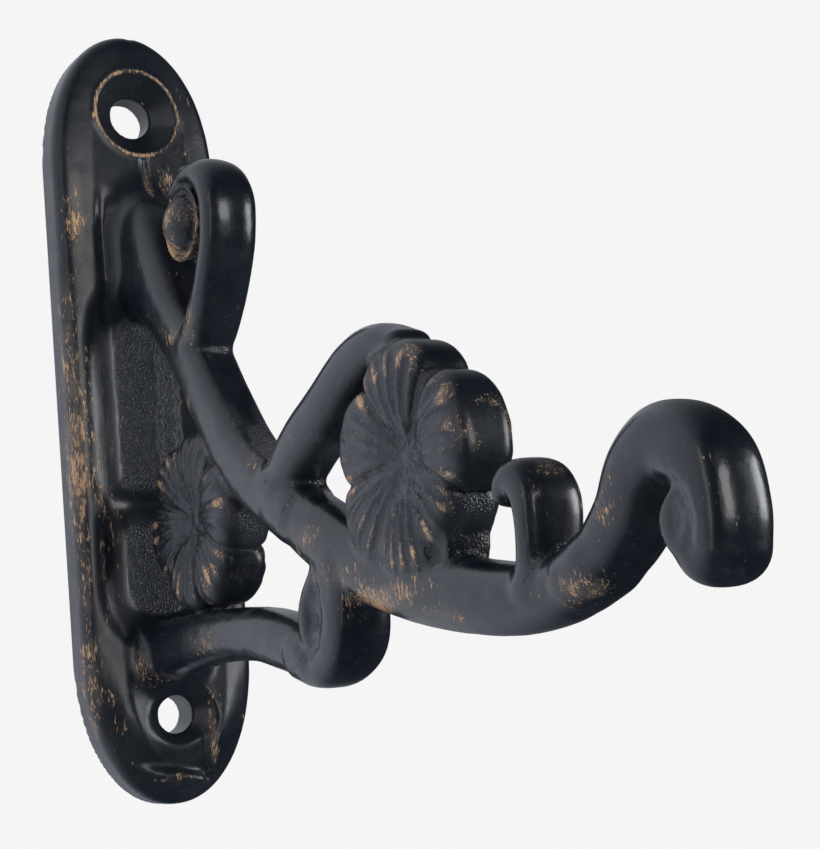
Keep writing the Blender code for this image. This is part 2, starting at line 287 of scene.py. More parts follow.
def plateHeight(x, z):
    look = plateLook
    inward = np.clip(-outlineGap(x, z) / look["round"], 0, 1)
    crownDip, crownWide = look["crown"]
    height = look["side"] + (look["thick"] - look["side"]) * (inward - crownDip * bump(inward, 1, crownWide))
    swellZ, swellLong, swellHigh = look["lowSwell"]
    height = height + swellHigh * bump(z, swellZ, swellLong) * smoothStep(0, 1, inward)
    saddleZ, saddleLong, saddleHigh = look["saddle"]
    floor = look["floor"] + saddleHigh * bump(z, saddleZ, saddleLong)
    pocket = 1 - smoothStep(0, look["slope"], recessGap(x, z))
    height = height + (floor - height) * pocket
    valleyX, valleyWide, valleyDeep = look["valley"]
    top, bottom = look["valleyEnds"]
    valley = bump(np.abs(x), valleyX, valleyWide) * smoothStep(*top, z) * smoothStep(*bottom, z)
    height = height - valleyDeep * valley
    lipOut, lipWide, lipHigh = look["seatLip"]
    height = height + lipHigh * bump(np.hypot(x, z - look["holeZ"]), look["ringR"] + lipOut, lipWide)
    # hollow round the lower hole, with a lip on its right and one below it
    sag = z + look["hollowTilt"] * x
    left, right, bottom, top = look["hollowEnds"]
    hollow = smoothStep(*left, x) * smoothStep(*right, x) * smoothStep(*bottom, sag) * smoothStep(*top, z)
    height = height - look["hollow"] * hollow
    lipX, lipWide, lipHigh = look["rightLip"]
    bottom, top = look["rightLipEnds"]
    height = height + lipHigh * bump(x, lipX, lipWide) * smoothStep(*bottom, z) * smoothStep(*top, z)
    lipZ, lipWide, lipHigh = look["bottomLip"]
    right, left = look["bottomLipEnds"]
    height = height + lipHigh * (bump(sag, lipZ, lipWide) * smoothStep(*right, x) * smoothStep(*left, x))
    return height - look["notchDeep"] * bump(x, *look["notchX"]) * bump(z, *look["notchZ"])


def plateField(points):
    look = plateLook
    x, y, z = points[:, 0], points[:, 1], points[:, 2]
    step = 0.05
    height = plateHeight(x, z)
    slopeX = (plateHeight(x + step, z) - height) / step
    slopeZ = (plateHeight(x, z + step) - height) / step
    front = (-y - height) / np.sqrt(1 + slopeX ** 2 + slopeZ ** 2)
    body = np.maximum(-melt(-front, -outlineGap(x, z), look["edgeSoft"]), y)
    spread = (look["ringR"] - look["holeR"]) / look["ringDepth"]
    seats = ((1, look["thick"], look["ringDepth"]), (-1, look["lowSeatTop"], look["lowSeatDepth"]))
    for side, top, depth in seats:
        cone = holeGap(points, side) - np.maximum(-y - top + depth, 0) * spread
        body = carve(body, cone / math.hypot(1, spread), look["seatSoft"])
    return body


def holeGap(points, side):  # distance from a screw hole's wall, the upper hole at 1 and the lower at -1
    look = plateLook
    radius = look["holeR"] if side > 0 else look["lowHoleR"]
    return np.hypot(points[:, 0], points[:, 2] - side * look["holeZ"]) - radius


def tunnelField(points):  # both screw holes, kept clear of the arm in front of them
    holes = np.maximum(-holeGap(points, 1), -holeGap(points, -1))
    uncut = -5.0
    return np.where(points[:, 1] > -plateLook["tunnelDepth"], holes, uncut)


# petals: direction in degrees, half spread in degrees, and length against the flower's radius
flowers = {
    "upper_flower": {
        "place": (-67.2, -16.7), "centre": (-68.6, -16.4), "radius": 12.1, "half": 3.5, "ribs": 15.5,
        "petals": [(168, 42, 1.0), (84, 36, 1.0), (20, 30, 0.97), (-36, 30, 1.02), (-84, 28, 1.0),
                   (-126, 28, 0.86)],
        "web": (-72.1, -25.6, 2.1, 2.4)},
    "lower_flower": {
        "place": (-18.6, -17.0), "centre": (-19.6, -16.6), "radius": 11.2, "half": 3.4, "ribs": 15.5,
        "petals": [(172, 40, 1.0), (104, 32, 1.02), (48, 28, 0.98), (-8, 30, 1.0), (-64, 30, 0.96),
                   (-122, 30, 1.0)]},
}
petalLook = {
    "notch": 0.15, "ribHigh": 0.19, "ribWaver": 0.6, "sideRibs": 0.35, "domeHigh": 0.42, "grooveDeep": 0.62,
    # how far out each one starts or ends, against the rim
    "ribStart": (0.14, 0.42), "ribEnd": (0.78, 0.98), "domeStart": (0.1, 0.6), "grooveStart": (0.1, 0.3),
    "rimStart": (0.72, 1.0),
    "eyeDeep": 0.95, "eyeWide": 3.0, "nubHigh": 0.3, "nubWide": 0.8,
    "star": (11, 0.14, 2.1, 1.2),  # points, height, reach and width
    "sink": 0.5, "rimDrop": 0.4, "rimRound": 1.55, "rimSquash": 0.86,
    "webSoft": 1.2, "webGrain": (0.25, 1.6),
}


def flowerField(name, points):
    look, petal = flowers[name], petalLook
    dy, dz = points[:, 1] - look["centre"][0], points[:, 2] - look["centre"][1]
    shiftY, shiftZ = look["centre"][0] - look["place"][0], look["centre"][1] - look["place"][1]
    reach = np.hypot(dy, dz) + 1e-6
    turn = np.degrees(np.arctan2(dz, dy))
    # how far the rim is from the flower's eye in each direction
    ray = (dy * shiftY + dz * shiftZ) / reach
    rim = -ray + np.sqrt(np.maximum(ray ** 2 + look["radius"] ** 2 - shiftY ** 2 - shiftZ ** 2, 0.1))
    lobe = np.full(len(points), -1e6)
    height = np.zeros(len(points))
    edge = np.ones(len(points))
    for number, (angle, spread, size) in enumerate(look["petals"]):
        across = ((turn - angle + 180) % 360 - 180) / spread
        score = 1 - np.abs(across)
        reachOut = size * (1 - petal["notch"] * np.clip(np.abs(across), 0, 1.4) ** 3.0)
        u = reach / (rim * reachOut)
        waver = petal["ribWaver"] * np.sin(u * 5 + number)
        ribs = petal["ribHigh"] * np.cos(across * look["ribs"] + waver) * smoothStep(*petal["ribStart"], u)
        ribs = ribs * (1 - smoothStep(*petal["ribEnd"], u)) * (1 - petal["sideRibs"] * np.abs(across))
        dome = petal["domeHigh"] * (1 - np.clip(np.abs(across), 0, 1) ** 2)
        dome = dome * smoothStep(*petal["domeStart"], u)
        chosen = score > lobe
        lobe = np.where(chosen, score, lobe)
        height = np.where(chosen, ribs + dome, height)
        edge = np.where(chosen, reachOut, edge)
    u = reach / (rim * edge)
    groove = petal["grooveDeep"] * np.exp(-(lobe * reach) ** 2)
    groove = groove * smoothStep(*petal["grooveStart"], u) * (1 - 0.3 * u)
    eye = petal["eyeDeep"] * bump(reach, 0, petal["eyeWide"])
    eye = eye - petal["nubHigh"] * bump(reach, 0, petal["nubWide"])
    starPoints, starHigh, starReach, starWide = petal["star"]
    star = starHigh * np.cos(np.radians(turn) * starPoints) * bump(reach, starReach, starWide)
    half = look["half"] - petal["sink"] + height - groove - eye + star
    half = half - petal["rimDrop"] * smoothStep(*petal["rimStart"], u)
    r = petal["rimRound"]
    qx = (np.abs(points[:, 0]) - half + r) * petal["rimSquash"]
    qr = reach - rim * edge + r
    outside = np.hypot(np.maximum(qx, 0), np.maximum(qr, 0))
    field = outside + np.minimum(np.maximum(qx, qr), 0) - r
    if "web" in look:  # metal left in the corner between the flower and the arm
        y, z, wide, thick = look["web"]
        web = np.maximum(np.hypot(points[:, 1] - y, points[:, 2] - z) - wide, np.abs(points[:, 0]) - thick)
        grainHigh, grainSize = petal["webGrain"]
        field = melt(field, web + grainHigh * grain(points, grainSize), petal["webSoft"])
    return field


buttonLook = {"place": (-22.0, 19.8), "radius": 4.2, "half": 4.6, "lip": 0.30, "lipAt": (4.40, 2.35),
              "lumps": (0.18, 1.9), "steep": 4.1, "webIn": 0.25, "lipSoft": 0.25}


def buttonField(points):  # domed button with a fine rim on each side
    look = buttonLook
    side = np.abs(points[:, 0])
    reach = np.hypot(points[:, 1] - look["place"][0], points[:, 2] - look["place"][1])
    lumpHigh, lumpSize = look["lumps"]
    lumpy = reach + lumpHigh * grain(points, lumpSize)
    dome = np.sqrt((side / look["half"]) ** 2 + (lumpy / look["radius"]) ** 2)
    field = (dome - 1) * look["steep"]
    lipReach, lipSide = look["lipAt"]
    rim = np.hypot(reach - lipReach, side - lipSide) - look["lip"]
    web = np.maximum(side - lipSide + look["webIn"], reach - lipReach)
    return melt(np.minimum(field, web), rim, look["lipSoft"])


order = ["back_plate", "upper_bar", "lower_strut", "lower_arm", "end_curl", "upper_curl", "branch_scroll",
         "inner_scroll", "strut_scroll", "upper_flower", "lower_flower", "curl_ball"]


def partField(name, points):
    if name == "back_plate":
        return plateField(points)
    if name in flowers:
        return flowerField(name, points)
    if name == "curl_ball":
        return buttonField(points)
    return memberField(name, points)


# slab is the number of grid layers worked out at once
castLook = {"room": 3.2, "soft": 0.55, "far": 50.0, "margin": 1.5, "slab": 24}


def partRoom(name):  # box around a part, in mm, with room for its fillets
    low, high = (np.array(v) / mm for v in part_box(name))
    return low - castLook["room"], high + castLook["room"]


def castField(points, labels=False):
    total = np.full(len(points), castLook["far"])
    owner = np.zeros(len(points), np.int32)
    nearest = np.full(len(points), castLook["far"])
    for number, name in enumerate(order):
        low, high = rooms[name]
        here = np.flatnonzero(((points >= low) & (points <= high)).all(axis=1))
        field = partField(name, points[here])
        soft = members[name]["soft"] if name in members else castLook["soft"]
        total[here] = melt(total[here], field, soft)
        closer = field < nearest[here]
        owner[here[closer]] = number
        nearest[here[closer]] = field[closer]
    # the wall face stays flat, and both screw holes go right through
    total = np.maximum(np.maximum(total, points[:, 1]), tunnelField(points))
    return (total, owner) if labels else total


rooms = {name: partRoom(name) for name in order}


def sculptGrid():
    low = np.array([cadBox[0][i] / mm for i in range(3)]) - castLook["margin"]
    high = np.array([cadBox[1][i] / mm for i in range(3)]) + castLook["margin"]
    counts = np.ceil((high - low) / cell).astype(int) + 1
    axes = [low[i] + cell * np.arange(counts[i]) for i in range(3)]
    field = np.full(counts, castLook["far"], np.float32)
    slab = castLook["slab"]
    for start in range(0, counts[1], slab):
        part = axes[1][start:start + slab]
        points = np.stack(np.meshgrid(axes[0], part, axes[2], indexing="ij"), -1).reshape(-1, 3)
        field[:, start:start + slab] = castField(points).reshape(counts[0], len(part), counts[2])
    return field, low


def skin(field, low):  # one vertex per crossed cell, one quad per crossed edge
    inside = field < 0
    corners = [(i, j, k) for i in (0, 1) for j in (0, 1) for k in (0, 1)]
    n = np.array(field.shape) - 1
    count = sum(inside[i:n[0] + i, j:n[1] + j, k:n[2] + k].astype(np.int8) for i, j, k in corners)
    cells = np.argwhere((count > 0) & (count < 8))
    index = np.full(n, -1, np.int64)
    index[tuple(cells.T)] = np.arange(len(cells))
    total = np.zeros((len(cells), 3))
    hits = np.zeros(len(cells))
    for a in corners:
        for axis in range(3):
            if a[axis]:
                continue
            b = list(a)
            b[axis] = 1
            fa = field[tuple((cells + a).T)]
            fb = field[tuple((cells + b).T)]
            crossed = (fa < 0) != (fb < 0)
            t = np.where(crossed, fa / np.where(crossed, fa - fb, 1), 0)
            place = np.array(a, float)[None] + np.zeros((len(cells), 3))
            place[:, axis] = t
            total += place * crossed[:, None]
            hits += crossed
    points = low + (cells + total / hits[:, None]) * cell
    quads = []
    for axis in range(3):
        u, v = (axis + 1) % 3, (axis + 2) % 3
        here = [slice(None)] * 3
        after = [slice(None)] * 3
        here[axis], after[axis] = slice(0, -1), slice(1, None)
        crossed = inside[tuple(here)] != inside[tuple(after)]
        edges = np.argwhere(crossed)
        edges = edges[(edges[:, u] > 0) & (edges[:, v] > 0) & (edges[:, u] < n[u]) & (edges[:, v] < n[v])]
        ring = []
        for du, dv in ((1, 1), (0, 1), (0, 0), (1, 0)):
            c = edges.copy()
            c[:, u] -= du
            c[:, v] -= dv
            ring.append(index[tuple(c.T)])
        ring = np.stack(ring, 1)
        outward = inside[tuple(edges.T)]
        ring[~outward] = ring[~outward][:, ::-1]
        quads.append(ring)
    return points, np.concatenate(quads)


def settle(points, rounds=2):  # slides each vertex onto the exact surface
    step, leastSlope = 0.04, 0.25
    for _ in range(rounds):
        value = castField(points)
        slope = np.stack([(castField(points + step * np.eye(3)[i]) - value) / step for i in range(3)], 1)
        length = np.maximum((slope ** 2).sum(1), leastSlope)
        points = points - np.clip(value / length, -cell, cell)[:, None] * slope
    return points


print("sculpting the casting")
field, low = sculptGrid()
points, quads = skin(field, low)
points = settle(points)
print("vertices:", len(points), "quads:", len(quads))

edgeList = np.concatenate([quads[:, [0, 1]], quads[:, [1, 2]], quads[:, [2, 3]], quads[:, [3, 0]]])
edgeList = np.unique(np.sort(edgeList, axis=1), axis=0)
edgeCount = np.bincount(edgeList.ravel(), minlength=len(points))


def neighbourMean(values):
    columns = values.reshape(len(values), -1)
    a, b = edgeList.T
    total = [np.bincount(a, columns[b, i], len(values)) + np.bincount(b, columns[a, i], len(values))
             for i in range(columns.shape[1])]
    return (np.stack(total, 1) / edgeCount[:, None]).reshape(values.shape)


def vertexNormals(points):
    corners = points[quads]
    face = np.cross(corners[:, 2] - corners[:, 0], corners[:, 3] - corners[:, 1])
    total = [sum(np.bincount(quads[:, k], face[:, i], len(points)) for k in range(4)) for i in range(3)]
    total = np.stack(total, 1)
    return total / np.maximum(np.linalg.norm(total, axis=1), 1e-9)[:, None]


softenLook = {"rounds": 5, "inward": 0.50, "outward": 0.52, "wallBand": 0.4}


def soften(points):  # rounds off what the grid and the joins leave, without shrinking
    look = softenLook
    loose = (points[:, 1] < -look["wallBand"])[:, None]
    for _ in range(look["rounds"]):
        points = points + look["inward"] * (neighbourMean(points) - points) * loose
        points = points - look["outward"] * (neighbourMean(points) - points) * loose
    return points


def convexity(points, normals, rounds):  # positive on ridges, negative in creases
    bend = ((points - neighbourMean(points)) * normals).sum(1) / cell ** 2
    for _ in range(rounds):
        bend = 0.5 * bend + 0.5 * neighbourMean(bend)
    return bend


sandy = [  # places left with the grain of the sand: centre and reach
    ((0, -76.5, -25.0), (2.9, 3.5, 4.0)), ((0, -55, -14), (2.6, 7, 5)), ((0, -34, -8.5), (2.3, 7, 6)),
    ((0, -28, -28.2), (2.4, 13, 1.3)), ((0, -29.8, -19), (2.6, 2.2, 9)), ((0, -46, -19), (2.6, 4, 2.2)),
]


# lines that the mould left on the plate: height, x, width, and the levels where each fades in and out
seams = [
    (0.16, 0.9, 0.3, (-11, -9), (9, 7)), (-0.12, 1.6, 0.3, (-11, -9), (9, 7)),
    (-0.12, 0.3, 0.3, (-11, -9), (9, 7)), (-0.32, 0.3, 0.42, (22, 26), (34.2, 33.2)),
    (-0.10, 0.0, 0.5, (45.8, 47), (60, 59)),
]


def seamHeight(x, z):
    wander = 0.15 * np.sin(z * 0.5) + 0.08 * np.sin(z * 1.7) + 0.3 * smoothStep(-0.3, 0.3, z - 0.5)
    height = np.zeros(len(x))
    for high, across, width, start, stop in seams:
        line = high * bump(x, across + wander, width)
        height = height + line * smoothStep(*start, z) * smoothStep(*stop, z)
    return height


skinLook = {
    "recessEdge": (0.0, 1.3), "edgeWaver": (0.4, 1.1), "recessDepth": (-4.6, -1.2), "saddleLong": 1.1,
    "creaseBend": (0.03, 0.3), "creaseRough": 0.8, "spotPatch": (-0.5, 0.3), "spotSize": 2.2,
    "swell": [(0.045, 5.0), (0.02, 1.7)],  # height and size
    "pits": [(0.045, 1.3, 0), (0.04, 0.66, 9)],  # height, size and shift
    "wallFade": (-0.05, -0.8),
}


def castSkin(points, normals, owner, bend):  # sand-cast unevenness, coarse in the recess and the crotches
    look = skinLook
    x, y, z = points.T
    onPlate = owner == order.index("back_plate")
    waverHigh, waverSize = look["edgeWaver"]
    gap = recessGap(x, z) + waverHigh * grain(points, waverSize)
    deep, shallow = look["recessDepth"]
    rough = onPlate * (1 - smoothStep(*look["recessEdge"], gap)) * (y < shallow) * (y > deep)
    saddleZ, saddleLong, _ = plateLook["saddle"]
    rough = rough * (1 - bump(z, saddleZ, saddleLong * look["saddleLong"]))
    crease = smoothStep(*look["creaseBend"], -bend) * (1 - onPlate)
    rough = np.maximum(rough, look["creaseRough"] * crease)
    for centre, reach in sandy:
        spot = np.exp(-((((points - centre) / reach) ** 2).sum(1)) ** 2)
        spot = spot * smoothStep(*look["spotPatch"], grain(points, look["spotSize"]))
        rough = np.maximum(rough, spot * (1 - onPlate))
    swell = sum(high * grain(points, size) for high, size in look["swell"])
    pits = rough * sum(high * grain(points + shift, size) for high, size, shift in look["pits"])
    lift = (swell + pits + onPlate * seamHeight(x, z)) * smoothStep(*look["wallFade"], y)
    return points + normals * lift[:, None], rough


_, owner = castField(points, labels=True)
points = soften(points)
bend = convexity(points, vertexNormals(points), 2)
points, rough = castSkin(points, vertexNormals(points), owner, bend)
# no point reaches past the plain solids' box
points = np.clip(points, np.array(cadBox[0]) / mm + 0.01, np.array(cadBox[1]) / mm)
normals = vertexNormals(points)

# where the dry brush caught: centre, reach in x, y and z, strength
brushed = [
    # the first four strips run along the plate's rim crest: their gold is wear, and the pale colour round it
    # is a painted reflection band
    ((-10.6, -3.8, -4), (1.5, 3, 33), 1.0), ((-10.6, -3.6, -36), (1.8, 3, 10), 0.92),
    ((-8.6, -6, -8), (1.1, 2, 26), 0.88), ((-9.4, -5, 24), (1.6, 2, 12), 0.92),
    ((-6.4, -5, -12), (1.3, 3, 18), 0.66), ((10.6, -4, -42), (2.0, 3, 6), 0.66),
    ((-8.6, -5, -40), (1.6, 3, 6), 0.70), ((-6.6, -6, 10), (1.4, 3, 8), 0.55),
    ((7.0, -6, 38), (1.6, 3, 8), 0.45), ((0.6, -6, 29), (0.9, 3, 4.8), 0.88),
    ((3.6, -6, 30), (1.8, 3, 3.4), 0.72), ((6.6, -6, 36), (1.2, 3, 7), 0.62),
    ((-5.0, -8, 16), (0.8, 4, 8), 0.45), ((-6.0, -5, 4), (1.5, 3, 5), 0.50),
    ((-5.0, -6, -34), (1.6, 4, 4), 0.85), ((-3.2, -23.4, 7.0), (1.8, 2.2, 4.0), 0.92),
    ((-3.6, -18, 7.5), (1.6, 3, 3), 0.78), ((-3.6, -12, 9.0), (1.4, 4, 2.4), 0.62),
    ((-3.3, -22, -3.0), (1.6, 1.2, 2.5), 0.80), ((-3.0, -34, -17.5), (2.0, 8, 2.0), 0.5),
    ((-3.2, -44, -23), (1.8, 5, 2.5), 0.68), ((-2.4, -61, -29.6), (2.6, 11, 2.2), 1.12),
    ((-2.8, -55, -26.8), (2.0, 7, 2.2), 0.85), ((-2.8, -72, -32.0), (2.2, 9, 1.6), 0.72),
    ((-3.2, -49, -21.6), (1.6, 5, 1.8), 0.80), ((-2.6, -37, -12.5), (1.6, 3, 2.6), 0.70),
    ((-2.6, -94, -31.5), (2.4, 4.5, 2.0), 0.84), ((-3.4, -99, -24.5), (1.8, 2.6, 3.2), 0.66),
    ((0.5, -87.6, -20.2), (2.8, 1.8, 1.5), 1.0), ((3.3, -87.8, -23), (0.9, 2.2, 4.6), 1.25),
    ((-2.6, -88, -22.4), (1.0, 1.6, 2.0), 0.7), ((0.5, -79.2, -12.5), (2.4, 1.5, 1.2), 0.92),
    ((-1.5, -79.2, -9.6), (1.8, 1.5, 1.0), 0.70), ((-1.5, -79.4, -16.4), (1.0, 1.5, 1.6), 0.66),
    ((-1.0, -77.6, -24), (2.4, 1.5, 2.4), 0.60), ((-1.0, -29.8, -13), (2.2, 1.5, 3.4), 0.85),
    ((0, -27, -24), (3.0, 2, 2.4), 0.55), ((-2.0, -52.5, -29), (1.4, 2, 3), 0.62),
    ((-3.0, -20, -31), (1.8, 11, 3.0), 0.50), ((-2.5, -8, -34.5), (2.6, 3, 1.6), 0.8),
    ((4.2, -6, -43), (0.9, 3, 4.5), 0.95), ((-1.0, -6, -47.6), (3.5, 3, 0.9), 0.85),
    ((0, -3, -49), (8, 3, 1.8), 0.42),
]


wearLook = {"least": 0.10, "spotEdge": 1.5, "uneven": (0.85, 0.3, 3.0), "ridge": (0.10, 0.45)}


def brushWear(points):
    wear = np.full(len(points), wearLook["least"])
    for centre, reach, strength in brushed:
        away = (((points - centre) / reach) ** 2).sum(1)
        wear = np.maximum(wear, strength * np.exp(-away ** wearLook["spotEdge"]))
    return wear


petalBrush = {
    "flat": (1.5, 2.4), "ring": (0.76, 0.26),  # against the flower's radius: middle and width
    "along": (8, 0.45, 0.8), "patch": (1.6, 0.2, 0.7),  # steps round and outwards, and size
    "level": 0.55, "alongPart": 0.75, "patchPart": 0.55, "between": 0.45, "ribs": 0.65, "ribBend": 0.22,
}


def petalWear(points, bend):  # the brush caught the ribs and the rims of the petals
    brush = petalBrush
    wear = np.zeros(len(points))
    for look in flowers.values():
        dy, dz = points[:, 1] - look["centre"][0], points[:, 2] - look["centre"][1]
        reach, turn = np.hypot(dy, dz), np.arctan2(dz, dy)
        flatSide = smoothStep(*brush["flat"], np.abs(points[:, 0]))
        middle, width = brush["ring"]
        near = bump(reach, look["radius"] * middle, look["radius"] * width) * flatSide
        turnStep, reachStep, size = brush["along"]
        along = grain(np.stack([turn * turnStep, reach * reachStep, turn * 0 + look["radius"]], 1), size)
        turnStep, reachStep, size = brush["patch"]
        patch = grain(np.stack([turn * turnStep, reach * reachStep, turn * 0], 1), size)
        uneven = brush["level"] + brush["alongPart"] * along + brush["patchPart"] * patch
        ribs = brush["between"] + brush["ribs"] * smoothStep(0.0, brush["ribBend"], bend)
        wear = np.maximum(wear, near * uneven * ribs)
    return wear


buttonBrushAndHighlight = {
    "level": 0.38, "below": (2.5, -2.0, 0.22), "wallSide": (-2.4, 1.8, 0.42),  # from, to and strength
    "glint": 0.5, "glintZ": (1.0, 1.2), "glintY": (-0.6, 1.0), "patch": (0.26, 1.1), "innerHalf": 1.0,
}


def buttonWearAndHighlight(points):
    brush = buttonBrushAndHighlight
    y, z = (points[:, 1:] - buttonLook["place"]).T
    wear = brush["level"]
    for value, (start, stop, strength) in ((z, brush["below"]), (y, brush["wallSide"])):
        wear = wear + strength * smoothStep(start, stop, value)
    # the glint is a painted highlight: a spot of extra gold on the dome where a highlight falls
    glint = brush["glint"] * bump(z, *brush["glintZ"]) * bump(y, *brush["glintY"])
    patchHigh, patchSize = brush["patch"]
    wear = wear + glint + patchHigh * grain(points, patchSize)
    return wear * (np.abs(points[:, 0]) > brush["innerHalf"])


# ring round the upper screw's seat and the edge of its hole: how far outside, width, strength, least depth
rims = [("ringR", 0.1, 0.33, 1.25, 5.2), ("holeR", 0.3, 0.3, 0.60, 2.5)]


def rimWear(points):
    reach = np.hypot(points[:, 0], points[:, 2] - plateLook["holeZ"])
    wear = np.zeros(len(points))
    for name, outside, width, strength, depth in rims:
        line = strength * bump(reach, plateLook[name] + outside, width)
        wear = np.maximum(wear, line * (points[:, 1] < -depth))
    return wear


fine = convexity(points, normals, 1)
onPlate = owner == order.index("back_plate")
wear = np.maximum(brushWear(points), petalWear(points, fine) * ~onPlate)
wear = np.maximum(wear, rimWear(points) * onPlate)
# the button's wear includes its painted highlight
wear = np.where(owner == order.index("curl_ball"), buttonWearAndHighlight(points), wear)
unevenLevel, unevenPart, unevenSize = wearLook["uneven"]
wear = wear * (unevenLevel + unevenPart * grain(points, unevenSize))
ridge = smoothStep(*wearLook["ridge"], bend)
print("surface finished")


class Shade:  # one socket, with the arithmetic that the finishes need
    def __init__(self, tree, socket):
        self.tree, self.socket = tree, socket

    def math(self, operation, first, second):
        return addNode(self.tree, "ShaderNodeMath", {"operation": operation}, {0: first, 1: second})

    def __add__(self, other):
        return self.math("ADD", self, other)

    def __sub__(self, other):
        return self.math("SUBTRACT", self, other)

    def __rsub__(self, other):
        return self.math("SUBTRACT", other, self)

    def __mul__(self, other):
        return self.math("MULTIPLY", self, other)

    __radd__ = __add__
    __rmul__ = __mul__


def feed(tree, socket, value):
    if isinstance(value, Shade):
        tree.links.new(value.socket, socket)
    elif socket.type == "RGBA":
        socket.default_value = (*value, 1)
    else:
        socket.default_value = value


def addNode(tree, kind, settings, inputs, output=0):
    node = tree.nodes.new(kind)
    for key, value in settings.items():
        setattr(node, key, value)
    for key, value in inputs.items():
        feed(tree, node.inputs[key], value)
    return Shade(tree, node.outputs[output]) if len(node.outputs) else None


class Finish:
    def __init__(self, name):
        self.material = bpy.data.materials.new(name)
        self.material.use_nodes = True
        self.tree = self.material.node_tree
        self.shader = self.tree.nodes["Principled BSDF"]
        self.place = self.node("ShaderNodeTexCoord", {}, {}, 3)

    def node(self, kind, settings, inputs, output=0):
        return addNode(self.tree, kind, settings, inputs, output)

    def set(self, **values):
        for name, value in values.items():
            feed(self.tree, self.shader.inputs[" ".join(name.split("_"))], value)

    def grain(self, scale, turn=(0, 0, 0), detail=3.0, rough=0.55, twist=0.0):
        place = self.node("ShaderNodeMapping", {}, {"Vector": self.place, "Rotation": turn, "Scale": scale})
        return self.node("ShaderNodeTexNoise", {}, {"Vector": place, "Scale": 1.0, "Detail": detail,
                                                    "Roughness": rough, "Distortion": twist})

    def speckle(self, size, detail=4.0, rough=0.55):
        return self.grain((size, size, size), detail=detail, rough=rough)

    def between(self, value, low, high):
        return self.node("ShaderNodeMapRange", {"interpolation_type": "SMOOTHSTEP"},
                         {"Value": value, "From Min": low, "From Max": high})

    def mix(self, factor, first, second):
        return self.node("ShaderNodeMix", {"data_type": "RGBA"}, {0: factor, 6: first, 7: second}, 2)

    def stored(self, name):
        return self.node("ShaderNodeAttribute", {"attribute_name": name}, {}, 2)


ironLook = {
    "black": (0.0048, 0.0085, 0.0145), "blue": (0.013, 0.017, 0.024), "dust": (0.032, 0.034, 0.040),
    # the pale warm grey on the next line is partly thin dust round the gold and partly a painted reflection
    # on the plate's rim crest
    "dustAndSheen": (0.165, 0.145, 0.130), "sand": (0.050, 0.056, 0.068),
    "gold": (0.58, 0.375, 0.215), "copper": (0.27, 0.145, 0.080), "goldRoughness": 0.50, "goldMetal": 0.55,
    # sizes of the noises, in features per metre
    "toneScale": 120, "patchScale": 230, "smearScale": 420, "dustScale": 900, "reliefScale": 1500,
    "pitScale": 3700.0, "hairs": 3.1,
    # what each one adds to the gold
    "strokePart": 2.1, "hairPart": 1.5, "patchPart": 0.9, "wearPart": 0.80, "ridgePart": 0.14,
    "copperHairs": 1.2,
    # where one colour turns into the next
    "goldEdge": (0.60, 0.94), "copperEdge": (0.62, 1.05), "toneEdge": (0.35, 0.68), "dustEdge": (0.56, 0.74),
    "dustAndSheenEdge": (0.45, 1.25), "dustAndSheenSmear": 0.8, "dustMost": 0.5, "sandMost": 0.75, "dustAndSheenMost": 0.75,
    "dullSmear": 0.22, "dullSand": 0.06, "coatRoughness": 0.12,
    "relief": (0.22, 1.7), "pitRelief": 2.2, "goldRelief": 0.28, "bump": 0.5, "bumpDistance": 0.00018,
}


def ironFinish(name, stroke, turn, rubbed, dulled, coat):
    look = ironLook
    finish = Finish(name)
    wear, ridge, coarse = finish.stored("wear"), finish.stored("ridge"), finish.stored("coarse")
    strokes = finish.grain(stroke, turn, 5.0, 0.65, 0.4)
    hairs = finish.grain(tuple(v * look["hairs"] for v in stroke), turn, 2.0, 0.6)
    patches = finish.speckle(look["patchScale"], 2.0)
    caught = (strokes - 0.5) * look["strokePart"] + (hairs - 0.5) * look["hairPart"]
    caught = caught + (patches - 0.5) * look["patchPart"]
    caught = caught + wear * look["wearPart"] + ridge * look["ridgePart"]
    gold = finish.between(caught, *(edge - rubbed for edge in look["goldEdge"]))
    tone = finish.speckle(look["toneScale"])
    dusty = finish.between(finish.speckle(look["dustScale"], rough=0.7), *look["dustEdge"])
    black = finish.mix(finish.between(tone, *look["toneEdge"]), look["black"], look["blue"])
    black = finish.mix(dusty * look["dustMost"], black, look["dust"])
    black = finish.mix(coarse * look["sandMost"], black, look["sand"])
    # thin dust round the brushed places, and a painted sheen: the pale colour also stands in for the soft
    # reflection band on the plate's rim crest
    smear = finish.speckle(look["smearScale"], rough=0.6)
    dustAndSheen = finish.between(wear + (smear - 0.5) * look["dustAndSheenSmear"], *look["dustAndSheenEdge"])
    black = finish.mix(dustAndSheen * look["dustAndSheenMost"], black, look["dustAndSheen"])
    bright = finish.between(caught + (hairs - 0.5) * look["copperHairs"],
                            *(edge - rubbed for edge in look["copperEdge"]))
    metal = finish.mix(bright, look["copper"], look["gold"])
    dull = dulled + (smear - 0.5) * look["dullSmear"] - coarse * look["dullSand"]
    pits = finish.node("ShaderNodeTexVoronoi", {}, {"Vector": finish.place, "Scale": look["pitScale"]})
    evenRelief, coarseRelief = look["relief"]
    relief = finish.speckle(look["reliefScale"], rough=0.6) * (evenRelief + coarse * coarseRelief)
    relief = relief + pits * coarse * look["pitRelief"] + gold * look["goldRelief"]
    normal = finish.node("ShaderNodeBump", {}, {"Strength": look["bump"], "Distance": look["bumpDistance"],
                                                "Height": relief})
    finish.set(Base_Color=finish.mix(gold, black, metal), Metallic=gold * look["goldMetal"],
               Roughness=dull + gold * (look["goldRoughness"] - dulled), Normal=normal,
               Specular_IOR_Level=0.5, Coat_Weight=coat, Coat_Roughness=look["coatRoughness"])
    return finish.material


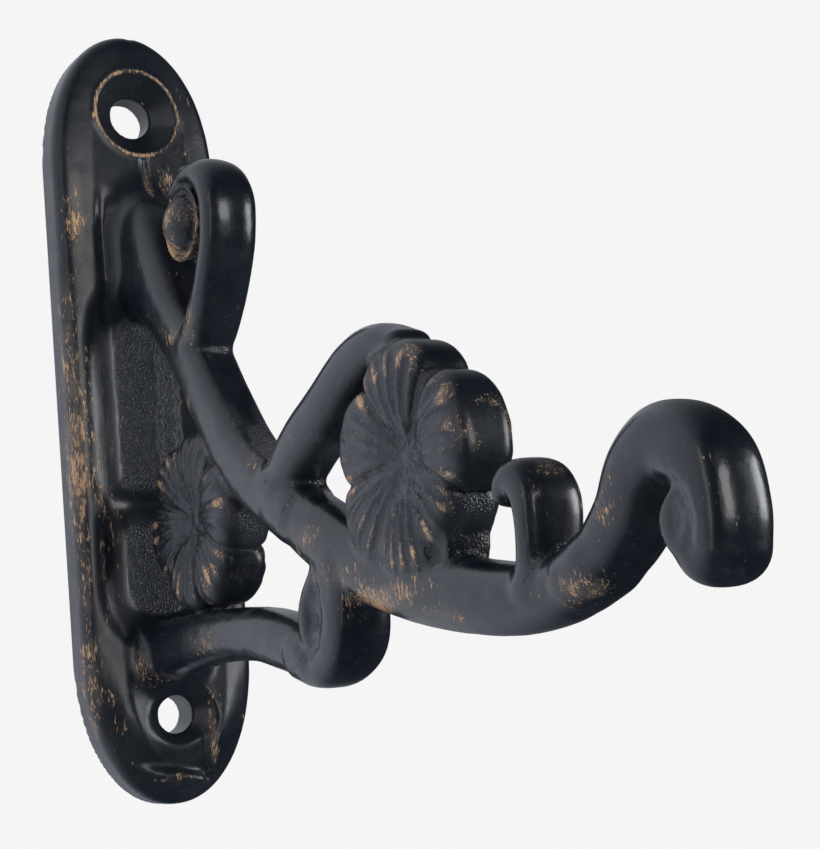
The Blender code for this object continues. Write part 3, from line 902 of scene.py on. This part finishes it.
# stroke is how fine the brush marks are along x, y and z, and turn lays them along the piece
paintLooks = {
    "plate_iron": {"name": "antiqueBlackPlate", "stroke": (1700, 1700, 430), "turn": (0, 0, 0),
                   "rubbed": 0.0, "dulled": 0.35, "coat": 0.06},
    "arm_iron": {"name": "antiqueBlackArm", "stroke": (2100, 2100, 520), "turn": (0.65, 0, 0),
                 "rubbed": 0.0, "dulled": 0.27, "coat": 0.25},
    "petal_iron": {"name": "antiqueBlackPetals", "stroke": (2000, 2200, 1700), "turn": (0.3, 0, 0),
                   "rubbed": 0.0, "dulled": 0.34, "coat": 0.10},
    "boss_iron": {"name": "antiqueBlackButton", "stroke": (2400, 2600, 1500), "turn": (-0.5, 0, 0),
                  "rubbed": 0.06, "dulled": 0.36, "coat": 0.10},
}
paints = {slot: ironFinish(**look) for slot, look in paintLooks.items()}
slotOf = {entry["node"]: entry["material_slot"] for entry in frame["record"]["subparts"]}


partingLook = {"votes": 6, "ownVote": 1.1, "passes": 4, "leastPatch": 1500}


def settleOwners(owner):  # small stray patches join the piece round them
    look = partingLook
    for _ in range(look["votes"]):
        votes = np.stack([np.bincount(edgeList[:, 0], owner[edgeList[:, 1]] == k, len(owner))
                          + np.bincount(edgeList[:, 1], owner[edgeList[:, 0]] == k, len(owner))
                          for k in range(len(order))], 1)
        votes[np.arange(len(owner)), owner] += look["ownVote"]
        owner = votes.argmax(1)
    for _ in range(look["passes"]):
        group = np.arange(len(owner))
        same = edgeList[owner[edgeList[:, 0]] == owner[edgeList[:, 1]]]
        while True:
            before = group
            low = np.minimum(group[same[:, 0]], group[same[:, 1]])
            group = group.copy()
            np.minimum.at(group, same[:, 0], low)
            np.minimum.at(group, same[:, 1], low)
            group = group[group]
            if (group == before).all():
                break
        size = np.bincount(group, minlength=len(owner))
        stray = size[group] < look["leastPatch"]
        if not stray.any():
            break
        touching = edgeList[stray[edgeList[:, 0]] != stray[edgeList[:, 1]]]
        if not len(touching):
            break
        inner = np.where(stray[touching[:, 0]], touching[:, 0], touching[:, 1])
        outer = np.where(stray[touching[:, 0]], touching[:, 1], touching[:, 0])
        taken = dict(zip(group[inner].tolist(), owner[outer].tolist()))
        for island, new in taken.items():
            owner = np.where(group == island, new, owner)
    return owner


def makePiece(name, number, faceOwner):
    mine = quads[faceOwner == number]
    used, local = np.unique(mine, return_inverse=True)
    mesh = bpy.data.meshes.new(name + "_cast")
    mesh.from_pydata((points[used] * mm).tolist(), [], local.reshape(-1, 4).tolist())
    for label, values in (("wear", wear), ("ridge", ridge), ("coarse", rough)):
        store = mesh.attributes.new(label, "FLOAT", "POINT")
        store.data.foreach_set("value", values[used].astype(np.float32))
    # each piece is closed where it was parted from its neighbours
    work = bmesh.new()
    work.from_mesh(mesh)
    filled = bmesh.ops.holes_fill(work, edges=[e for e in work.edges if e.is_boundary], sides=0)
    for face in filled["faces"]:
        face.smooth = False
    bmesh.ops.triangulate(work, faces=filled["faces"])
    openEdges = sum(e.is_boundary for e in work.edges)
    work.to_mesh(mesh)
    work.free()
    # soft shading runs on from piece to piece
    own = len(mine)
    smooth = np.zeros(len(mesh.polygons), bool)
    smooth[:own] = True
    mesh.polygons.foreach_set("use_smooth", smooth)
    corner = np.zeros(len(mesh.loops), np.int32)
    mesh.loops.foreach_get("vertex_index", corner)
    split = normals[used][corner]
    for face in mesh.polygons[own:]:
        for k in face.loop_indices:
            split[k] = face.normal
    mesh.normals_split_custom_set(split.tolist())
    mesh.materials.append(paints[slotOf[name]])
    piece = bpy.data.objects.new(name + "_cast", mesh)
    bpy.context.scene.collection.objects.link(piece)
    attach(piece, "root")
    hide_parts(name)
    print(piece.name, len(mesh.polygons), "faces,", openEdges, "open edges")


owner = settleOwners(owner)
faceOwner = np.sort(owner[quads], axis=1)[:, 1]
for number, name in enumerate(order):
    makePiece(name, number, faceOwner)


studio = {
    "background": (0.913, 0.913, 0.913), "room": (0.90, 0.94, 1.05), "behind": 0.9, "ahead": 0.02,
    "pale": (-0.62, 0.70, 0.30), "paleEdge": (-0.1, 0.85),  # the way to the brightest part of the room
    "lights": [  # name, place and aim in mm, size in m, power, colour
        ("frontStrip", (35, -900, 120), (0, -50, 0), (0.36, 0.40), 2.2, (1, 0.99, 0.98)),
        ("sideStrip", (790, -500, 120), (0, -60, 0), (0.30, 0.38), 2.5, (0.96, 0.98, 1)),
        ("leftFill", (-800, -560, 220), (0, -40, 0), (0.12, 0.9), 0.7, (1, 0.97, 0.93)),
    ],
}


def makeLight(name, place, aim, size, power, colour):
    data = bpy.data.lights.new(name, "AREA")
    data.shape, data.size, data.size_y = "RECTANGLE", size[0], size[1]
    data.energy, data.color = power, colour
    light = bpy.data.objects.new(name, data)
    spot, target = Vector(place) * mm, Vector(aim) * mm
    turn = (target - spot).to_track_quat("-Z", "Y").to_matrix().to_4x4()
    light.matrix_world = Matrix.Translation(spot) @ turn
    bpy.context.scene.collection.objects.link(light)


def makeWorld():  # a pale room behind the piece, and a dim one in front of it
    world = bpy.data.worlds.new("studio")
    bpy.context.scene.world = world
    world.use_nodes = True
    tree = world.node_tree
    tree.nodes.clear()
    where = addNode(tree, "ShaderNodeTexCoord", {}, {}, 0)
    facing = addNode(tree, "ShaderNodeVectorMath", {"operation": "DOT_PRODUCT"},
                     {0: where, 1: studio["pale"]}, 1)
    low, high = studio["paleEdge"]
    glow = addNode(tree, "ShaderNodeMapRange", {"interpolation_type": "SMOOTHSTEP"},
                   {"Value": facing, "From Min": low, "From Max": high,
                    "To Min": studio["ahead"], "To Max": studio["behind"]})
    lit = addNode(tree, "ShaderNodeBackground", {}, {"Color": studio["room"], "Strength": glow})
    seen = addNode(tree, "ShaderNodeBackground", {}, {"Color": studio["background"]})
    path = addNode(tree, "ShaderNodeLightPath", {}, {}, 0)
    both = addNode(tree, "ShaderNodeMixShader", {}, {0: path, 1: lit, 2: seen})
    addNode(tree, "ShaderNodeOutputWorld", {}, {0: both})


floorLook = {"half": 1.2, "height": -0.32, "speckScale": 30, "pale": 0.905, "paler": 0.92}


def makeFloor():
    look = floorLook
    size = look["half"]
    mesh = bpy.data.meshes.new("floor")
    mesh.from_pydata([(-size, -size, 0), (size, -size, 0), (size, size, 0), (-size, size, 0)], [],
                     [(0, 1, 2, 3)])
    floor = bpy.data.objects.new("floor", mesh)
    floor.location = (0, 0, look["height"])
    floor.visible_glossy = False
    finish = Finish("paleFloor")
    glow = finish.mix(finish.speckle(look["speckScale"], 2.0), (look["pale"],) * 3, (look["paler"],) * 3)
    finish.set(Base_Color=(0.0, 0.0, 0.0), Emission_Color=glow, Emission_Strength=1.0, Roughness=1.0,
               Specular_IOR_Level=0.0)
    mesh.materials.append(finish.material)
    bpy.context.scene.collection.objects.link(floor)


makeWorld()
makeFloor()
for entry in studio["lights"]:
    makeLight(*entry)
print("studio lit")
